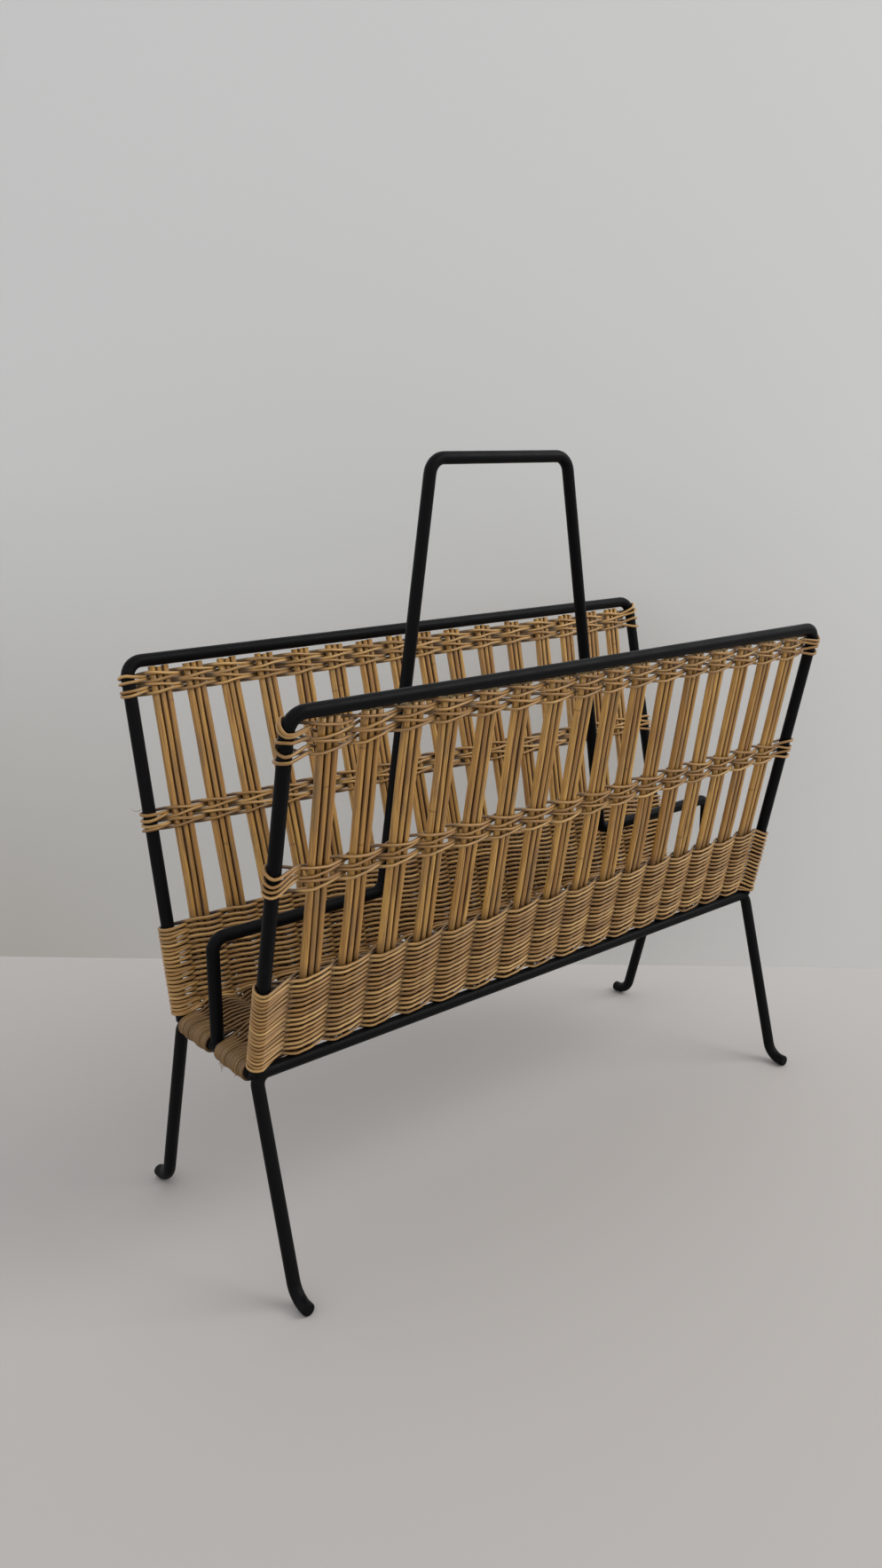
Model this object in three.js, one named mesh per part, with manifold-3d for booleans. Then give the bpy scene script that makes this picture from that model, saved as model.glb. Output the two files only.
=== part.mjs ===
import * as THREE from 'three';
import { mergeVertices } from 'three/addons/utils/BufferGeometryUtils.js';
import Module from 'manifold-3d';

// A two-pocket magazine basket: a frame of bent and welded round rod, filled in with a rattan basket.
// Stakes of reeds laid side by side run down one side, across the floor and up the other, and twined
// cane holds them to the frame: two open bands and a dense lower weave on each side, and a woven floor.
// Lengths are millimetres. X runs along the basket, the front is towards -Y, Z is up, and the four
// toes stand on Z = 0 under the middle of the basket.

// Frame of bent rod, between centre lines unless a name says otherwise
const rodDiameter = 8;
const frameLength = 440;
const baseWidth = 86;
const baseHeight = 130;
const topWidth = 181.6;
const topHeight = 346.5;
const legSpread = 155.2;
const footWidth = 182;
const footBendRadius = 13;
const baseBendRadius = 7;
const topBendRadius = 10;

// Divider rod, which rises in the middle to form the carrying handle
const dividerHeight = 198;
const handleHeight = 466;
const handleFootWidth = 198;
const handleTopWidth = 114;
const dividerBendRadius = 8;
const handleBendRadius = 11;

// Rattan
const reedDiameter = 4.4;
const reedsPerStake = 3;
const stakeCount = 16;
const stakeTopGap = 1.7;
const strandDiameter = 1.8;
const footDrift = 6;
const rearFan = 5;

// Twined bands, measured down the side from the centre line of the top rail
const topBandDepth = 6.4;
const topBandHeight = 13.2;
const middleBandDepth = 89.7;
const middleBandHeight = 13.4;
const lowerWeaveDepth = 162.4;
const floorEdgeGap = 0.8;

// Making
const clearance = 0.3;
const cutOverrun = 2;
const mergeTolerance = 0.0005;
const rodSides = 12;
const rodBendSteps = 3;
const stakeBendSteps = 2;
const loopSteps = 5;

// Sizes that follow from these
const rodRadius = rodDiameter / 2;
const rodFlatRadius = rodRadius * Math.cos(Math.PI / rodSides);
const reedRadius = reedDiameter / 2;
const stakeHalfWidth = reedsPerStake * reedRadius;
const halfLength = frameLength / 2;
const sideRun = (topWidth - baseWidth) / 2;
const sideRise = topHeight - baseHeight;
const sideSlant = Math.hypot(sideRun, sideRise);
const bulge = reedRadius + clearance + strandDiameter;
const loopRadius = rodRadius + clearance + strandDiameter;
const stakeBendRadius = loopRadius + 2 * clearance;
const floorHeight = baseHeight + rodRadius + clearance + reedRadius;
const floorCornerUp = (floorHeight - baseHeight) * (sideSlant / sideRise);
const stakeTop = sideSlant - rodRadius - stakeTopGap;
const lowerWeaveTop = sideSlant - lowerWeaveDepth;

const sides = [['front', -1], ['rear', 1]];
const ends = [['left', -1], ['right', 1]];
const alongBasket = new THREE.Vector3(1, 0, 0);

const wasm = await Module();
wasm.setup();

const rodPaint = { color: '#1b1c1f', roughness: 0.42, metalness: 0.1 };
const reedFinish = { color: '#b98a4a', roughness: 0.55, metalness: 0 };
const weaveFinish = { color: '#a37c49', roughness: 0.6, metalness: 0 };

// A route with a ring only where its shape needs one: at its ends, its kinks and along its bends
class RingRoute extends THREE.Curve {
  constructor(rings, across) {
    super();
    this.rings = rings;
    this.across = across;
  }

  ringAt(share) {
    return this.rings[Math.round(share * (this.rings.length - 1))];
  }

  getPointAt(share, target = new THREE.Vector3()) {
    return target.copy(this.ringAt(share).point);
  }

  getTangentAt(share, target = new THREE.Vector3()) {
    return target.copy(this.ringAt(share).tangent);
  }

  // A flat section keeps its width along the given direction; a round one is carried along untwisted
  computeFrenetFrames(segments, closed) {
    if (!this.across) return super.computeFrenetFrames(segments, closed);
    const tangents = this.rings.map((ring) => ring.tangent.clone());
    const normals = tangents.map((tangent) =>
      this.across.clone().addScaledVector(tangent, -this.across.dot(tangent)).normalize());
    const binormals = tangents.map((tangent, index) => tangent.clone().cross(normals[index]));
    return { tangents, normals, binormals };
  }
}

// Straight runs between corners, each rounded to its bend radius, or a plain kink where that is zero
function bentRoute(corners, bendRadii, bendSteps = rodBendSteps, across = null) {
  const rings = [];
  const direction = (from, to) => to.clone().sub(from).normalize();
  rings.push({ point: corners[0], tangent: direction(corners[0], corners[1]) });
  for (let index = 1; index < corners.length - 1; index += 1) {
    const corner = corners[index];
    const before = direction(corners[index - 1], corner);
    const after = direction(corner, corners[index + 1]);
    const radius = bendRadii[index - 1];
    if (radius === 0) {
      rings.push({ point: corner, tangent: before.clone().add(after).normalize() });
      continue;
    }
    const turn = before.angleTo(after);
    const inward = after.clone().addScaledVector(before, -before.dot(after)).normalize();
    const start = corner.clone().addScaledVector(before, -radius * Math.tan(turn / 2));
    for (let step = 0; step <= bendSteps; step += 1) {
      const angle = (turn * step) / bendSteps;
      const point = start.clone()
        .addScaledVector(before, radius * Math.sin(angle))
        .addScaledVector(inward, radius * (1 - Math.cos(angle)));
      const tangent = before.clone().multiplyScalar(Math.cos(angle)).addScaledVector(inward, Math.sin(angle));
      rings.push({ point, tangent });
    }
  }
  const last = corners.length - 1;
  rings.push({ point: corners[last], tangent: direction(corners[last - 1], corners[last]) });
  return new RingRoute(rings, across);
}

function sweep(section, route) {
  return new THREE.ExtrudeGeometry(section, { extrudePath: route, steps: route.rings.length - 1 });
}

function polygon(points) {
  return new THREE.Shape(points.map(([x, y]) => new THREE.Vector2(x, y)));
}

// A round rod, with a flat facing straight down where it lies on the ground
function rodSection(flatRadius) {
  const cornerRadius = flatRadius / Math.cos(Math.PI / rodSides);
  const points = [];
  for (let side = 0; side < rodSides; side += 1) {
    const angle = ((side + 1 / 2) * 2 * Math.PI) / rodSides;
    points.push([cornerRadius * Math.cos(angle), cornerRadius * Math.sin(angle)]);
  }
  return polygon(points);
}

function toSolid(geometry) {
  const plain = geometry.clone();
  plain.deleteAttribute('normal');
  plain.deleteAttribute('uv');
  const merged = mergeVertices(plain, mergeTolerance);
  const vertProperties = new Float32Array(merged.attributes.position.array);
  const triVerts = new Uint32Array(merged.index.array);
  return new wasm.Manifold(new wasm.Mesh({ numProp: 3, vertProperties, triVerts }));
}

function toGeometry(solid) {
  const mesh = solid.getMesh();
  const geometry = new THREE.BufferGeometry();
  geometry.setAttribute('position', new THREE.BufferAttribute(mesh.vertProperties, 3));
  geometry.setIndex(new THREE.BufferAttribute(mesh.triVerts, 1));
  geometry.computeVertexNormals();
  return geometry;
}

function rodSolid(route) {
  return toSolid(sweep(rodSection(rodFlatRadius), route));
}

// The room that a rod needs in a piece that is fitted round it or coped against it
function rodRoom(route) {
  return toSolid(sweep(rodSection(rodFlatRadius + clearance), route));
}

// Place on a side: along it, up it from the base rail, and front (-1) or rear (+1)
function onSide(x, up, side) {
  const y = side * (baseWidth / 2 + (sideRun / sideSlant) * up);
  return new THREE.Vector3(x, y, baseHeight + (sideRise / sideSlant) * up);
}

function baseRodRoute(side) {
  const toe = (end) => new THREE.Vector3(end * halfLength, (side * footWidth) / 2, rodFlatRadius);
  const heel = (end) => new THREE.Vector3(end * halfLength, (side * legSpread) / 2, rodFlatRadius);
  const corner = (end) => onSide(end * halfLength, 0, side);
  const corners = [toe(-1), heel(-1), corner(-1), corner(1), heel(1), toe(1)];
  return bentRoute(corners, [footBendRadius, baseBendRadius, baseBendRadius, footBendRadius]);
}

function sideFrameRoute(side) {
  const corners = [
    onSide(-halfLength, 0, side), onSide(-halfLength, sideSlant, side),
    onSide(halfLength, sideSlant, side), onSide(halfLength, 0, side),
  ];
  return bentRoute(corners, [topBendRadius, topBendRadius]);
}

function endRailRoute(end) {
  return bentRoute([onSide(end * halfLength, 0, -1), onSide(end * halfLength, 0, 1)], []);
}

function dividerRoute() {
  const place = (x, z) => new THREE.Vector3(x, 0, z);
  const corners = [
    place(-halfLength, baseHeight), place(-halfLength, dividerHeight),
    place(-handleFootWidth / 2, dividerHeight), place(-handleTopWidth / 2, handleHeight),
    place(handleTopWidth / 2, handleHeight), place(handleFootWidth / 2, dividerHeight),
    place(halfLength, dividerHeight), place(halfLength, baseHeight),
  ];
  const bends = [
    dividerBendRadius, dividerBendRadius, handleBendRadius,
    handleBendRadius, dividerBendRadius, dividerBendRadius,
  ];
  return bentRoute(corners, bends);
}

// Where each stake stands. Hand work leaves the feet of the middle ones a little to the right of their
// even spacing, and the tops of the rear ones a little drawn out at both ends.
const stakes = Array.from({ length: stakeCount }, (unused, index) => index);

function stakeTurn(index) {
  return (Math.PI * index) / (stakeCount - 1);
}

function evenPlace(index) {
  return -halfLength + (frameLength / (stakeCount + 1)) * (index + 1);
}

function stakeFoot(index) {
  return evenPlace(index) + footDrift * Math.sin(stakeTurn(index));
}

function stakeHead(index, side) {
  return side < 0 ? evenPlace(index) : evenPlace(index) - rearFan * Math.cos(stakeTurn(index));
}

function stakeX(index, side, up) {
  const leanShare = Math.max(0, (up - lowerWeaveTop) / (stakeTop - lowerWeaveTop));
  return stakeFoot(index) + (stakeHead(index, side) - stakeFoot(index)) * leanShare;
}

function stakeRoute(index) {
  const foot = stakeFoot(index);
  const corners = [
    onSide(stakeX(index, -1, stakeTop), stakeTop, -1),
    onSide(foot, lowerWeaveTop, -1),
    onSide(foot, floorCornerUp, -1),
    onSide(foot, floorCornerUp, 1),
    onSide(foot, lowerWeaveTop, 1),
    onSide(stakeX(index, 1, stakeTop), stakeTop, 1),
  ];
  return bentRoute(corners, [0, stakeBendRadius, stakeBendRadius, 0], stakeBendSteps, alongBasket);
}

// Round reeds side by side: a crest over each reed and a groove between neighbours, on both faces
function stakeSection() {
  const grooveShare = 0.3;
  const face = [];
  for (let reed = 0; reed < reedsPerStake; reed += 1) {
    const x = reedDiameter * reed + reedRadius - stakeHalfWidth;
    face.push([x, reedRadius]);
    if (reed < reedsPerStake - 1) face.push([x + reedRadius, reedRadius * grooveShare]);
  }
  const back = face.map(([x, y]) => [-x, -y]);
  return polygon([[stakeHalfWidth, 0], ...face.reverse(), [-stakeHalfWidth, 0], ...back.reverse()]);
}

// Room for a stake through a woven strip, with some to spare where it leans
function stakeHole(centre, leanRoom) {
  const edge = stakeHalfWidth + leanRoom + clearance * Math.SQRT2;
  const crest = stakeHalfWidth - reedRadius + leanRoom + clearance * Math.tan(Math.PI / 8);
  const deep = reedRadius + clearance;
  return polygon([
    [centre + edge, 0], [centre + crest, deep], [centre - crest, deep],
    [centre - edge, 0], [centre - crest, -deep], [centre + crest, -deep],
  ]);
}

// One face of a woven strip, left to right: it crosses between stakes and swells over each of them
function stripFace(centres, level) {
  const crownShare = 0.7;
  const points = [];
  const stops = [-halfLength, ...centres, halfLength];
  for (let index = 1; index < stops.length; index += 1) {
    points.push([(stops[index - 1] + stops[index]) / 2, level * strandDiameter]);
    if (index === stops.length - 1) break;
    points.push([stops[index] - crownShare * stakeHalfWidth, level * bulge]);
    points.push([stops[index] + crownShare * stakeHalfWidth, level * bulge]);
  }
  return points;
}

// The loop in which the strands of a strip turn round the rod at its end
function endLoop(end, drop) {
  const wrapTurn = 1.2 * Math.PI;
  const points = [];
  for (let step = 0; step <= loopSteps; step += 1) {
    const angle = (end < 0 ? Math.PI : 0) + wrapTurn * (step / loopSteps - 1 / 2);
    points.push([end * halfLength + loopRadius * Math.cos(angle), loopRadius * Math.sin(angle) - drop]);
  }
  return points;
}

function stripSection(centres, leanRooms, drop = 0) {
  const lower = stripFace(centres, -1);
  const upper = stripFace(centres, 1).reverse();
  const section = polygon([...lower, ...endLoop(1, drop), ...upper, ...endLoop(-1, drop)]);
  section.holes = centres.map((centre, index) => stakeHole(centre, leanRooms[index]));
  return section;
}

// A woven band on a side, with its lower edge at a height up it
function band(side, from, height) {
  const centres = stakes.map((index) => stakeX(index, side, from + height / 2));
  const lean = (index) => Math.abs(stakeX(index, side, from + height) - stakeX(index, side, from));
  const section = stripSection(centres, stakes.map((index) => lean(index) / 2));
  const route = bentRoute([onSide(0, from + height, side), onSide(0, from, side)], [], 1, alongBasket);
  return toSolid(sweep(section, route)).subtract(rodRoom(sideFrameRoute(side)));
}

// The lower weave follows the stakes down a side and half way round their bend, to the base rail
function lowerWeave(side) {
  const turn = onSide(0, floorCornerUp, side);
  const corners = [onSide(0, lowerWeaveTop, side), turn, onSide(0, floorCornerUp, -side)];
  const whole = bentRoute(corners, [stakeBendRadius], stakeBendSteps, alongBasket);
  const halfWayRound = 1 + stakeBendSteps / 2;
  const route = new RingRoute(whole.rings.slice(0, halfWayRound + 1), alongBasket);
  const section = stripSection(stakes.map(stakeFoot), stakes.map(() => 0));
  const rods = [sideFrameRoute(side), baseRodRoute(side), ...ends.map(([, end]) => endRailRoute(end))];
  return rods.reduce((solid, rod) => solid.subtract(rodRoom(rod)), toSolid(sweep(section, route)));
}

// The floor lies on the base rails, and its strands turn round the end rails on each side of the posts
function floorWeave() {
  const half = baseWidth / 2 - rodRadius - floorEdgeGap;
  const route = bentRoute(
    [new THREE.Vector3(0, half, floorHeight), new THREE.Vector3(0, -half, floorHeight)], [], 1, alongBasket);
  const section = stripSection(stakes.map(stakeFoot), stakes.map(() => 0), floorHeight - baseHeight);
  let solid = toSolid(sweep(section, route));
  for (const [, end] of ends) {
    const width = 2 * (loopRadius + cutOverrun);
    const depth = 2 * (rodRadius + clearance);
    const postGap = new THREE.BoxGeometry(width, depth, 2 * (floorHeight - baseHeight + bulge + cutOverrun));
    postGap.translate(end * halfLength, 0, baseHeight);
    solid = solid.subtract(rodRoom(endRailRoute(end))).subtract(toSolid(postGap));
  }
  return solid;
}

const basket = new THREE.Group();

function addPiece(name, solid, finish) {
  const mesh = new THREE.Mesh(toGeometry(solid), new THREE.MeshStandardMaterial(finish));
  mesh.name = name;
  basket.add(mesh);
}

// Welded frame: each rod is coped against the ones that it is welded to
for (const [name, side] of sides) addPiece(`${name}_base_rod`, rodSolid(baseRodRoute(side)), rodPaint);

function cutByBaseRods(solid) {
  return sides.reduce((rest, [, side]) => rest.subtract(rodRoom(baseRodRoute(side))), solid);
}

function cutByEndRails(solid) {
  return ends.reduce((rest, [, end]) => rest.subtract(rodRoom(endRailRoute(end))), solid);
}

for (const [name, end] of ends) {
  addPiece(`${name}_end_rail`, cutByBaseRods(rodSolid(endRailRoute(end))), rodPaint);
}
for (const [name, side] of sides) {
  addPiece(`${name}_side_frame`, cutByEndRails(cutByBaseRods(rodSolid(sideFrameRoute(side)))), rodPaint);
}
addPiece('handle_divider', cutByEndRails(rodSolid(dividerRoute())), rodPaint);

// Stakes
for (const index of stakes) {
  const name = `stake_${String(index + 1).padStart(2, '0')}`;
  addPiece(name, toSolid(sweep(stakeSection(), stakeRoute(index))), reedFinish);
}

// Twined cane
for (const [name, side] of sides) {
  const topEdge = sideSlant - topBandDepth;
  const middleEdge = sideSlant - middleBandDepth;
  addPiece(`${name}_top_band`, band(side, topEdge - topBandHeight, topBandHeight), weaveFinish);
  addPiece(`${name}_middle_band`, band(side, middleEdge - middleBandHeight, middleBandHeight), weaveFinish);
  addPiece(`${name}_lower_weave`, lowerWeave(side), weaveFinish);
}
addPiece('floor_weave', floorWeave(), weaveFinish);

export default basket;
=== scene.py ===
"""Dresses the magazine basket: round painted rods, stakes of loose reeds, and every strand of twined cane.

Lengths are millimetres in the frame of the CAD model, and become metres when a mesh is made.
A side has places of its own: x along the basket, up from the base rail, and out from the side's middle.
"""
from collections import namedtuple

import bpy
import numpy as np
from mathutils import Matrix, Vector


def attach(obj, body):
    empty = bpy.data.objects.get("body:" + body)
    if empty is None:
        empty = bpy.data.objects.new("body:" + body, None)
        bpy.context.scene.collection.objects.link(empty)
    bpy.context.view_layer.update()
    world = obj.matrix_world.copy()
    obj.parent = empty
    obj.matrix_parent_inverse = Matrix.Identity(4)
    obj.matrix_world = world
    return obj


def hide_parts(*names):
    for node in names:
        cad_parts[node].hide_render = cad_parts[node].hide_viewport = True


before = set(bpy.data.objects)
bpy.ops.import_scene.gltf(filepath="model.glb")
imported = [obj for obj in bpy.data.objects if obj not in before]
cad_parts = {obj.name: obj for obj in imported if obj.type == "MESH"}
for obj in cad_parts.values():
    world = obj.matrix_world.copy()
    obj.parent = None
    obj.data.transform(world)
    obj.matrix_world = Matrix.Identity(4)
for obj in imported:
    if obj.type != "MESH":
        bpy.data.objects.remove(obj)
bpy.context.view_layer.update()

METRES = 0.001

# Frame of bent rod, between centre lines
ROD_RADIUS = 4
HALF_LENGTH = 220
BASE_HALF_WIDTH = 43
BASE_HEIGHT = 130
TOP_HALF_WIDTH = 90.8
TOP_HEIGHT = 346.5
HEEL_HALF_WIDTH = 77.6
TOE_HALF_WIDTH = 91
FOOT_BEND = 13
BASE_BEND = 7
TOP_BEND = 10
DIVIDER_HEIGHT = 198
HANDLE_HEIGHT = 466
HANDLE_FOOT = 99
HANDLE_TOP = 57
DIVIDER_BEND = 8
HANDLE_BEND = 11
# The rounded edge of a rod's cut end: shares of its size along the rod and cut from the radius
ROD_EDGE = 1.2
ROD_EDGE_SHARES = ((0, 1), (0.12, 0.5), (0.5, 0.12), (1, 0))
# A direction that no run of a base rod has
BASE_ROD_ACROSS_Y, BASE_ROD_ACROSS_Z = 0.61, 0.79
# Weld beads, whose thickness wanders from step to step. A saddle is rounded off where it is lowest
WELD_RADIUS = 1
WELD_UNEVENNESS = 0.25
WELD_WAVE = 9
SADDLE_ROUNDING = 0.03

# Stakes: three reeds side by side, down one side, across the floor and up the other
STAKES = 16
REEDS = 3
REED_RADIUS = 2.15
REED_SPACING = 4.4
STAKE_BEND = 6.7
FLOOR_HEIGHT = 136.5
FRONT_TOP_UP = 216.8
REAR_TOP_UP = 217.1
# How far hand work left each stake's head to the right of its even place, from the left end
FRONT_HEAD_SHIFT = (-0.8, 0, 1.7, 1.5, 3.6, 3, 5.1, 4.6, 2.8, 0.2, 1, 1.1, -0.8, 0, 0, 0.9)
REAR_HEAD_SHIFT = (-5.4, -8.3, -10.6, -9.3, -7.6, -6.8, -7.5, -7.6, -7.9, -8, -4.3, -0.6, 3.7, 3.9, 6, 3.4)
# The same for the feet, which at the front stray most a little to the right of the middle
REAR_FOOT_SHIFT = -4.2
FRONT_FOOT_SHIFT = 3.6
FRONT_FOOT_STRAY = 6
FRONT_FOOT_SKEW = 1.3
# A stake starts to lean at the top of the lower weave, by degrees
LEAN_START = 59.3
LEAN_EASE = 0.1
# How unlike each other the reeds are: sizes of slow drifts, and the lengths that they take
REED_TOP_RANGE = (-0.7, 0.5)
REED_SIZE_RANGE = (0.98, 1.04)
REED_SWAY, REED_SWAY_LENGTH = 0.22, 150
REED_BOW, REED_BOW_LENGTH = 0.16, 120
REED_SWELL, REED_SWELL_LENGTH = 0.05, 200
# Painted shade in the crease between reeds: where it fades, from facing its neighbour (1) to facing outwards
# (0)
REED_CREASE_SHADE = (0.97, 0.55)
# Painted shade on a reed behind the lower weave: the share of its colour that is left, and where that shade
# ends, from the weave's top
COVERED_LIGHT_SHARE = 0.12
COVERED_SHADE_END = (-3, 1)

# Twined cane: a strand lies on a stake from shoulder to shoulder, and near the middle of the weave where it
# crosses another
FRONT_BAND_STRAND = 0.96
REAR_BAND_STRAND = FRONT_BAND_STRAND * 1.06
FRONT_LOWER_STRAND = 1
REAR_LOWER_STRAND = FRONT_LOWER_STRAND * 1.14
STRAND_SIZE_RANGE = (0.95, 1.04)
CROSSING_DEPTH = 0.6
SHOULDER = 5.4
SHOULDER_DEPTH = 0.93
GAP = 0.05
# Slow waves of a row: height, length along it for each radian, and how many times its phase shifts them
ROW_WAVES = ((0.2, 31, 1), (0.12, 13, 2))
ROW_PHASES = 1000
STITCH_SCATTER = 0.06
# A loop round an upright climbs from its back to its face, and towards its ends turns off to the weave.
# Where it lies on the upright's top bend it leans, by a sine that has a limit
LOOP_ANGLES = np.radians((-113, -85, -57, -28, 0, 28, 57, 85, 113))
LOOP_STEEPNESS = 1.2
LOOP_LEAVING = (0.6, 2.5)
LOOP_LEAVING_SHARE = 0.45
LOOP_STEEPEST_LEAN = 0.98
LOWEST_BACK_LOOP = 6
# How far from the upright the tips of a short extra strand lie, and cross, as shares of a stake's spacing
TUCK_SHARES = (0.62, 0.5)
TUCK_DROP = 0.5
# Painted shade on a strand's skin: how far off the middle of the weave it is darkest, and where it is fully
# lit
STRAND_SHADE_RANGE = (0.4, 1.9)

# Floor: strands woven over and under the stakes, and pressed together where they go round the end rails
FLOOR_STRANDS = 20
RIBBON_STRANDS = 4
RIBBON_LIFTS = (0.1, 0.6, 0.2, 0.7, 0.3)
RIBBON_SQUEEZE = 0.12
RIBBON_ROUGHNESS = 0.12
RIBBON_ROUGH_TURN = 2.4
RAIL_FIRST = 6
RAIL_LAST = 37.2
FLOOR_FIRST = 1.2
FLOOR_LAST = 39.4
FLOOR_STRAND = 0.86
RAIL_STRAND = 0.92
GATHERING_LENGTH = 18
FLOOR_SWAY, FLOOR_SWAY_LENGTH = 0.12, 90
FLOOR_SCATTER = 0.05
# Painted shade between floor strands: where it fades, from facing the next strand (1) to facing up or down
# (0), and the share of colour left where it is darkest
FLOOR_CREASE_SHADE = (0.97, 0.6)
FLOOR_LEAST_LIT = 0.25
# Each end goes over the rail and round it to a tail tucked under the first stake
RAIL_ANGLES = np.radians((-50, -90, -135, -180, -225, -270))
RAIL_LEAVING = 9
RAIL_LEAVING_RISE = 0.6
RAIL_LEAVING_STEP = 0.4
TAIL_PAST_STAKE = 6
TAIL_BEFORE_STAKE = 7
TAIL_DROP = 0.3

# Loose fibres: where each starts, and the way and the distance that it sticks out
FIBRES = (
    ((-225.3, -14, 126.5), (-1, -1, -4.5)),
    ((-225.2, -15, 126.5), (1, 1, -3)),
    ((-225.3, -13, 127), (-0.5, 2.5, -2)),
    ((-225.3, -12.5, 126.8), (0.5, -1.5, -3.6)),
    ((-225.1, -30, 126.6), (-0.5, 1, -2.2)),
    ((-146, 90.5, 330), (7, 0.8, -3.5)),
    ((-60, 88.5, 334), (6, 0, -5)),
    ((-152, -47, 139), (-6, -1.5, -2)),
    ((-224, 74, 259), (-4.5, 4, 0.6)),
    ((96, -84, 330), (4, -2, -5)),
    ((-208, 41, 138), (2, -3, -4.5)),
)
# A direction that no fibre follows
FIBRE_ACROSS = (0.3, 0.9, 0.2)
FIBRE_RADIUS = 0.16
FIBRE_TAPER = (1.2, 0.6)
FIBRE_BOW = 0.12
FIBRE_ROOT_SHARE = 0.15

# Each strand is cut somewhere from a run of grain as long as this
GRAIN_RUN = 9000
# The waves of a slow drift, by how often each fits its length, and about how high they reach together
DRIFT_HARMONICS = (1, 1.7, 2.9)
DRIFT_REACH = 1.6

# Fineness of the meshes
ROD_SIDES = 20
WELD_SIDES = 8
WELD_STEPS = 24
REED_SIDES = 12
STRAND_SIDES = 8
FIBRE_SIDES = 5
FIBRE_STEPS = 9
BEND_STEPS = 8
STAKE_BEND_STEPS = 5
FLOOR_REED_STEPS = 6
REED_STEP = 9
CURVE_STEPS = 4
FLOOR_CURVE_STEPS = 3

LEFT, RIGHT = -1, 1
FRONT, REAR = -1, 1
SIDE_NAMES = {FRONT: "front", REAR: "rear"}

# Direction up a side, and what follows from the sizes
RISE_Y, RISE_Z = np.array([TOP_HALF_WIDTH - BASE_HALF_WIDTH, TOP_HEIGHT - BASE_HEIGHT])
SLANT = float(np.hypot(RISE_Y, RISE_Z))
RISE_Y, RISE_Z = RISE_Y / SLANT, RISE_Z / SLANT
STAKE_TURN = np.arccos(RISE_Y)
BEND_START = (FLOOR_HEIGHT - BASE_HEIGHT) / RISE_Z + STAKE_BEND * np.tan(STAKE_TURN / 2)
LOWER_WEAVE_UP = 60
WOVEN_HEIGHT = BASE_HEIGHT + LOWER_WEAVE_UP * RISE_Z
POST_SPACING = 2 * HALF_LENGTH / (STAKES + 1)


# Shapes in space

def unit(vectors):
    return vectors / np.linalg.norm(vectors, axis=-1, keepdims=True)


def eased(values, start, end):
    """From 0 at the start to 1 at the end, smoothly."""
    share = np.clip((values - start) / (end - start), 0, 1)
    return share * share * (3 - 2 * share)


def wander(rng, places, size, wavelength):
    """A slow drift along a length, by about the given size."""
    drift = np.zeros(len(places))
    for harmonic in DRIFT_HARMONICS:
        drift += np.sin(places * harmonic * 2 * np.pi / wavelength + rng.uniform(0, 2 * np.pi)) / harmonic
    return drift * size / DRIFT_REACH


def bent_route(corners, bends):
    """Straight runs with a round bend at each inner corner."""
    corners = [np.array(corner, float) for corner in corners]
    points = [corners[0]]
    for before, corner, after, radius in zip(corners, corners[1:], corners[2:], bends):
        inward, onward = unit(corner - before), unit(after - corner)
        turn = np.arccos(np.clip(inward @ onward, -1, 1))
        aside = unit(onward - inward * (inward @ onward))
        start = corner - inward * radius * np.tan(turn / 2)
        for angle in np.linspace(0, turn, BEND_STEPS + 1):
            points.append(start + inward * radius * np.sin(angle) + aside * radius * (1 - np.cos(angle)))
    return np.array([*points, corners[-1]])


def smooth(points, closed, steps=CURVE_STEPS):
    """A smooth curve through the points."""
    if closed:
        padded = np.concatenate([points[-1:], points, points[:2]])
    else:
        padded = np.concatenate([2 * points[:1] - points[1:2], points, 2 * points[-1:] - points[-2:-1]])
    before, start, end, after = padded[:-3], padded[1:-2], padded[2:-1], padded[3:]
    rows = []
    for share in np.arange(steps) / steps:
        rows.append((2 * start + (end - before) * share
                     + (2 * before - 5 * start + 4 * end - after) * share**2
                     + (3 * start - before - 3 * end + after) * share**3) / 2)
    curve = np.stack(rows, 1).reshape(-1, points.shape[1])
    return curve if closed else np.concatenate([curve, points[-1:]])


def side_place(x, up, out, side, turning=True):
    """Places on a side, which below the start of the stakes' bend follow it round towards the floor."""
    x, up, out = np.broadcast_arrays(np.asarray(x, float), np.asarray(up, float), np.asarray(out, float))
    turn = np.maximum(0, BEND_START - up) / STAKE_BEND if turning else np.zeros_like(up)
    reach = np.where(turn > 0, STAKE_BEND + out, 0)
    along = np.where(turn > 0, BEND_START, up) - reach * np.sin(turn)
    proud = np.where(turn > 0, reach * np.cos(turn) - STAKE_BEND, out)
    y = side * (BASE_HALF_WIDTH + RISE_Y * along + RISE_Z * proud)
    return np.stack([x, y, BASE_HEIGHT + RISE_Z * along - RISE_Y * proud], -1)


def upright_place(end, up, angle, reach, side):
    """Places round an upright, which near its top bends in towards the top rail."""
    bend_up = SLANT - TOP_BEND
    lean = np.arcsin(np.clip((up - bend_up) / TOP_BEND, 0, LOOP_STEEPEST_LEAN))
    arm = TOP_BEND + reach * np.cos(angle)
    x = end * (HALF_LENGTH - TOP_BEND + arm * np.cos(lean))
    height = np.minimum(up, bend_up) + arm * np.sin(lean)
    return side_place(x, height, reach * np.sin(angle), side, turning=False)


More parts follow.
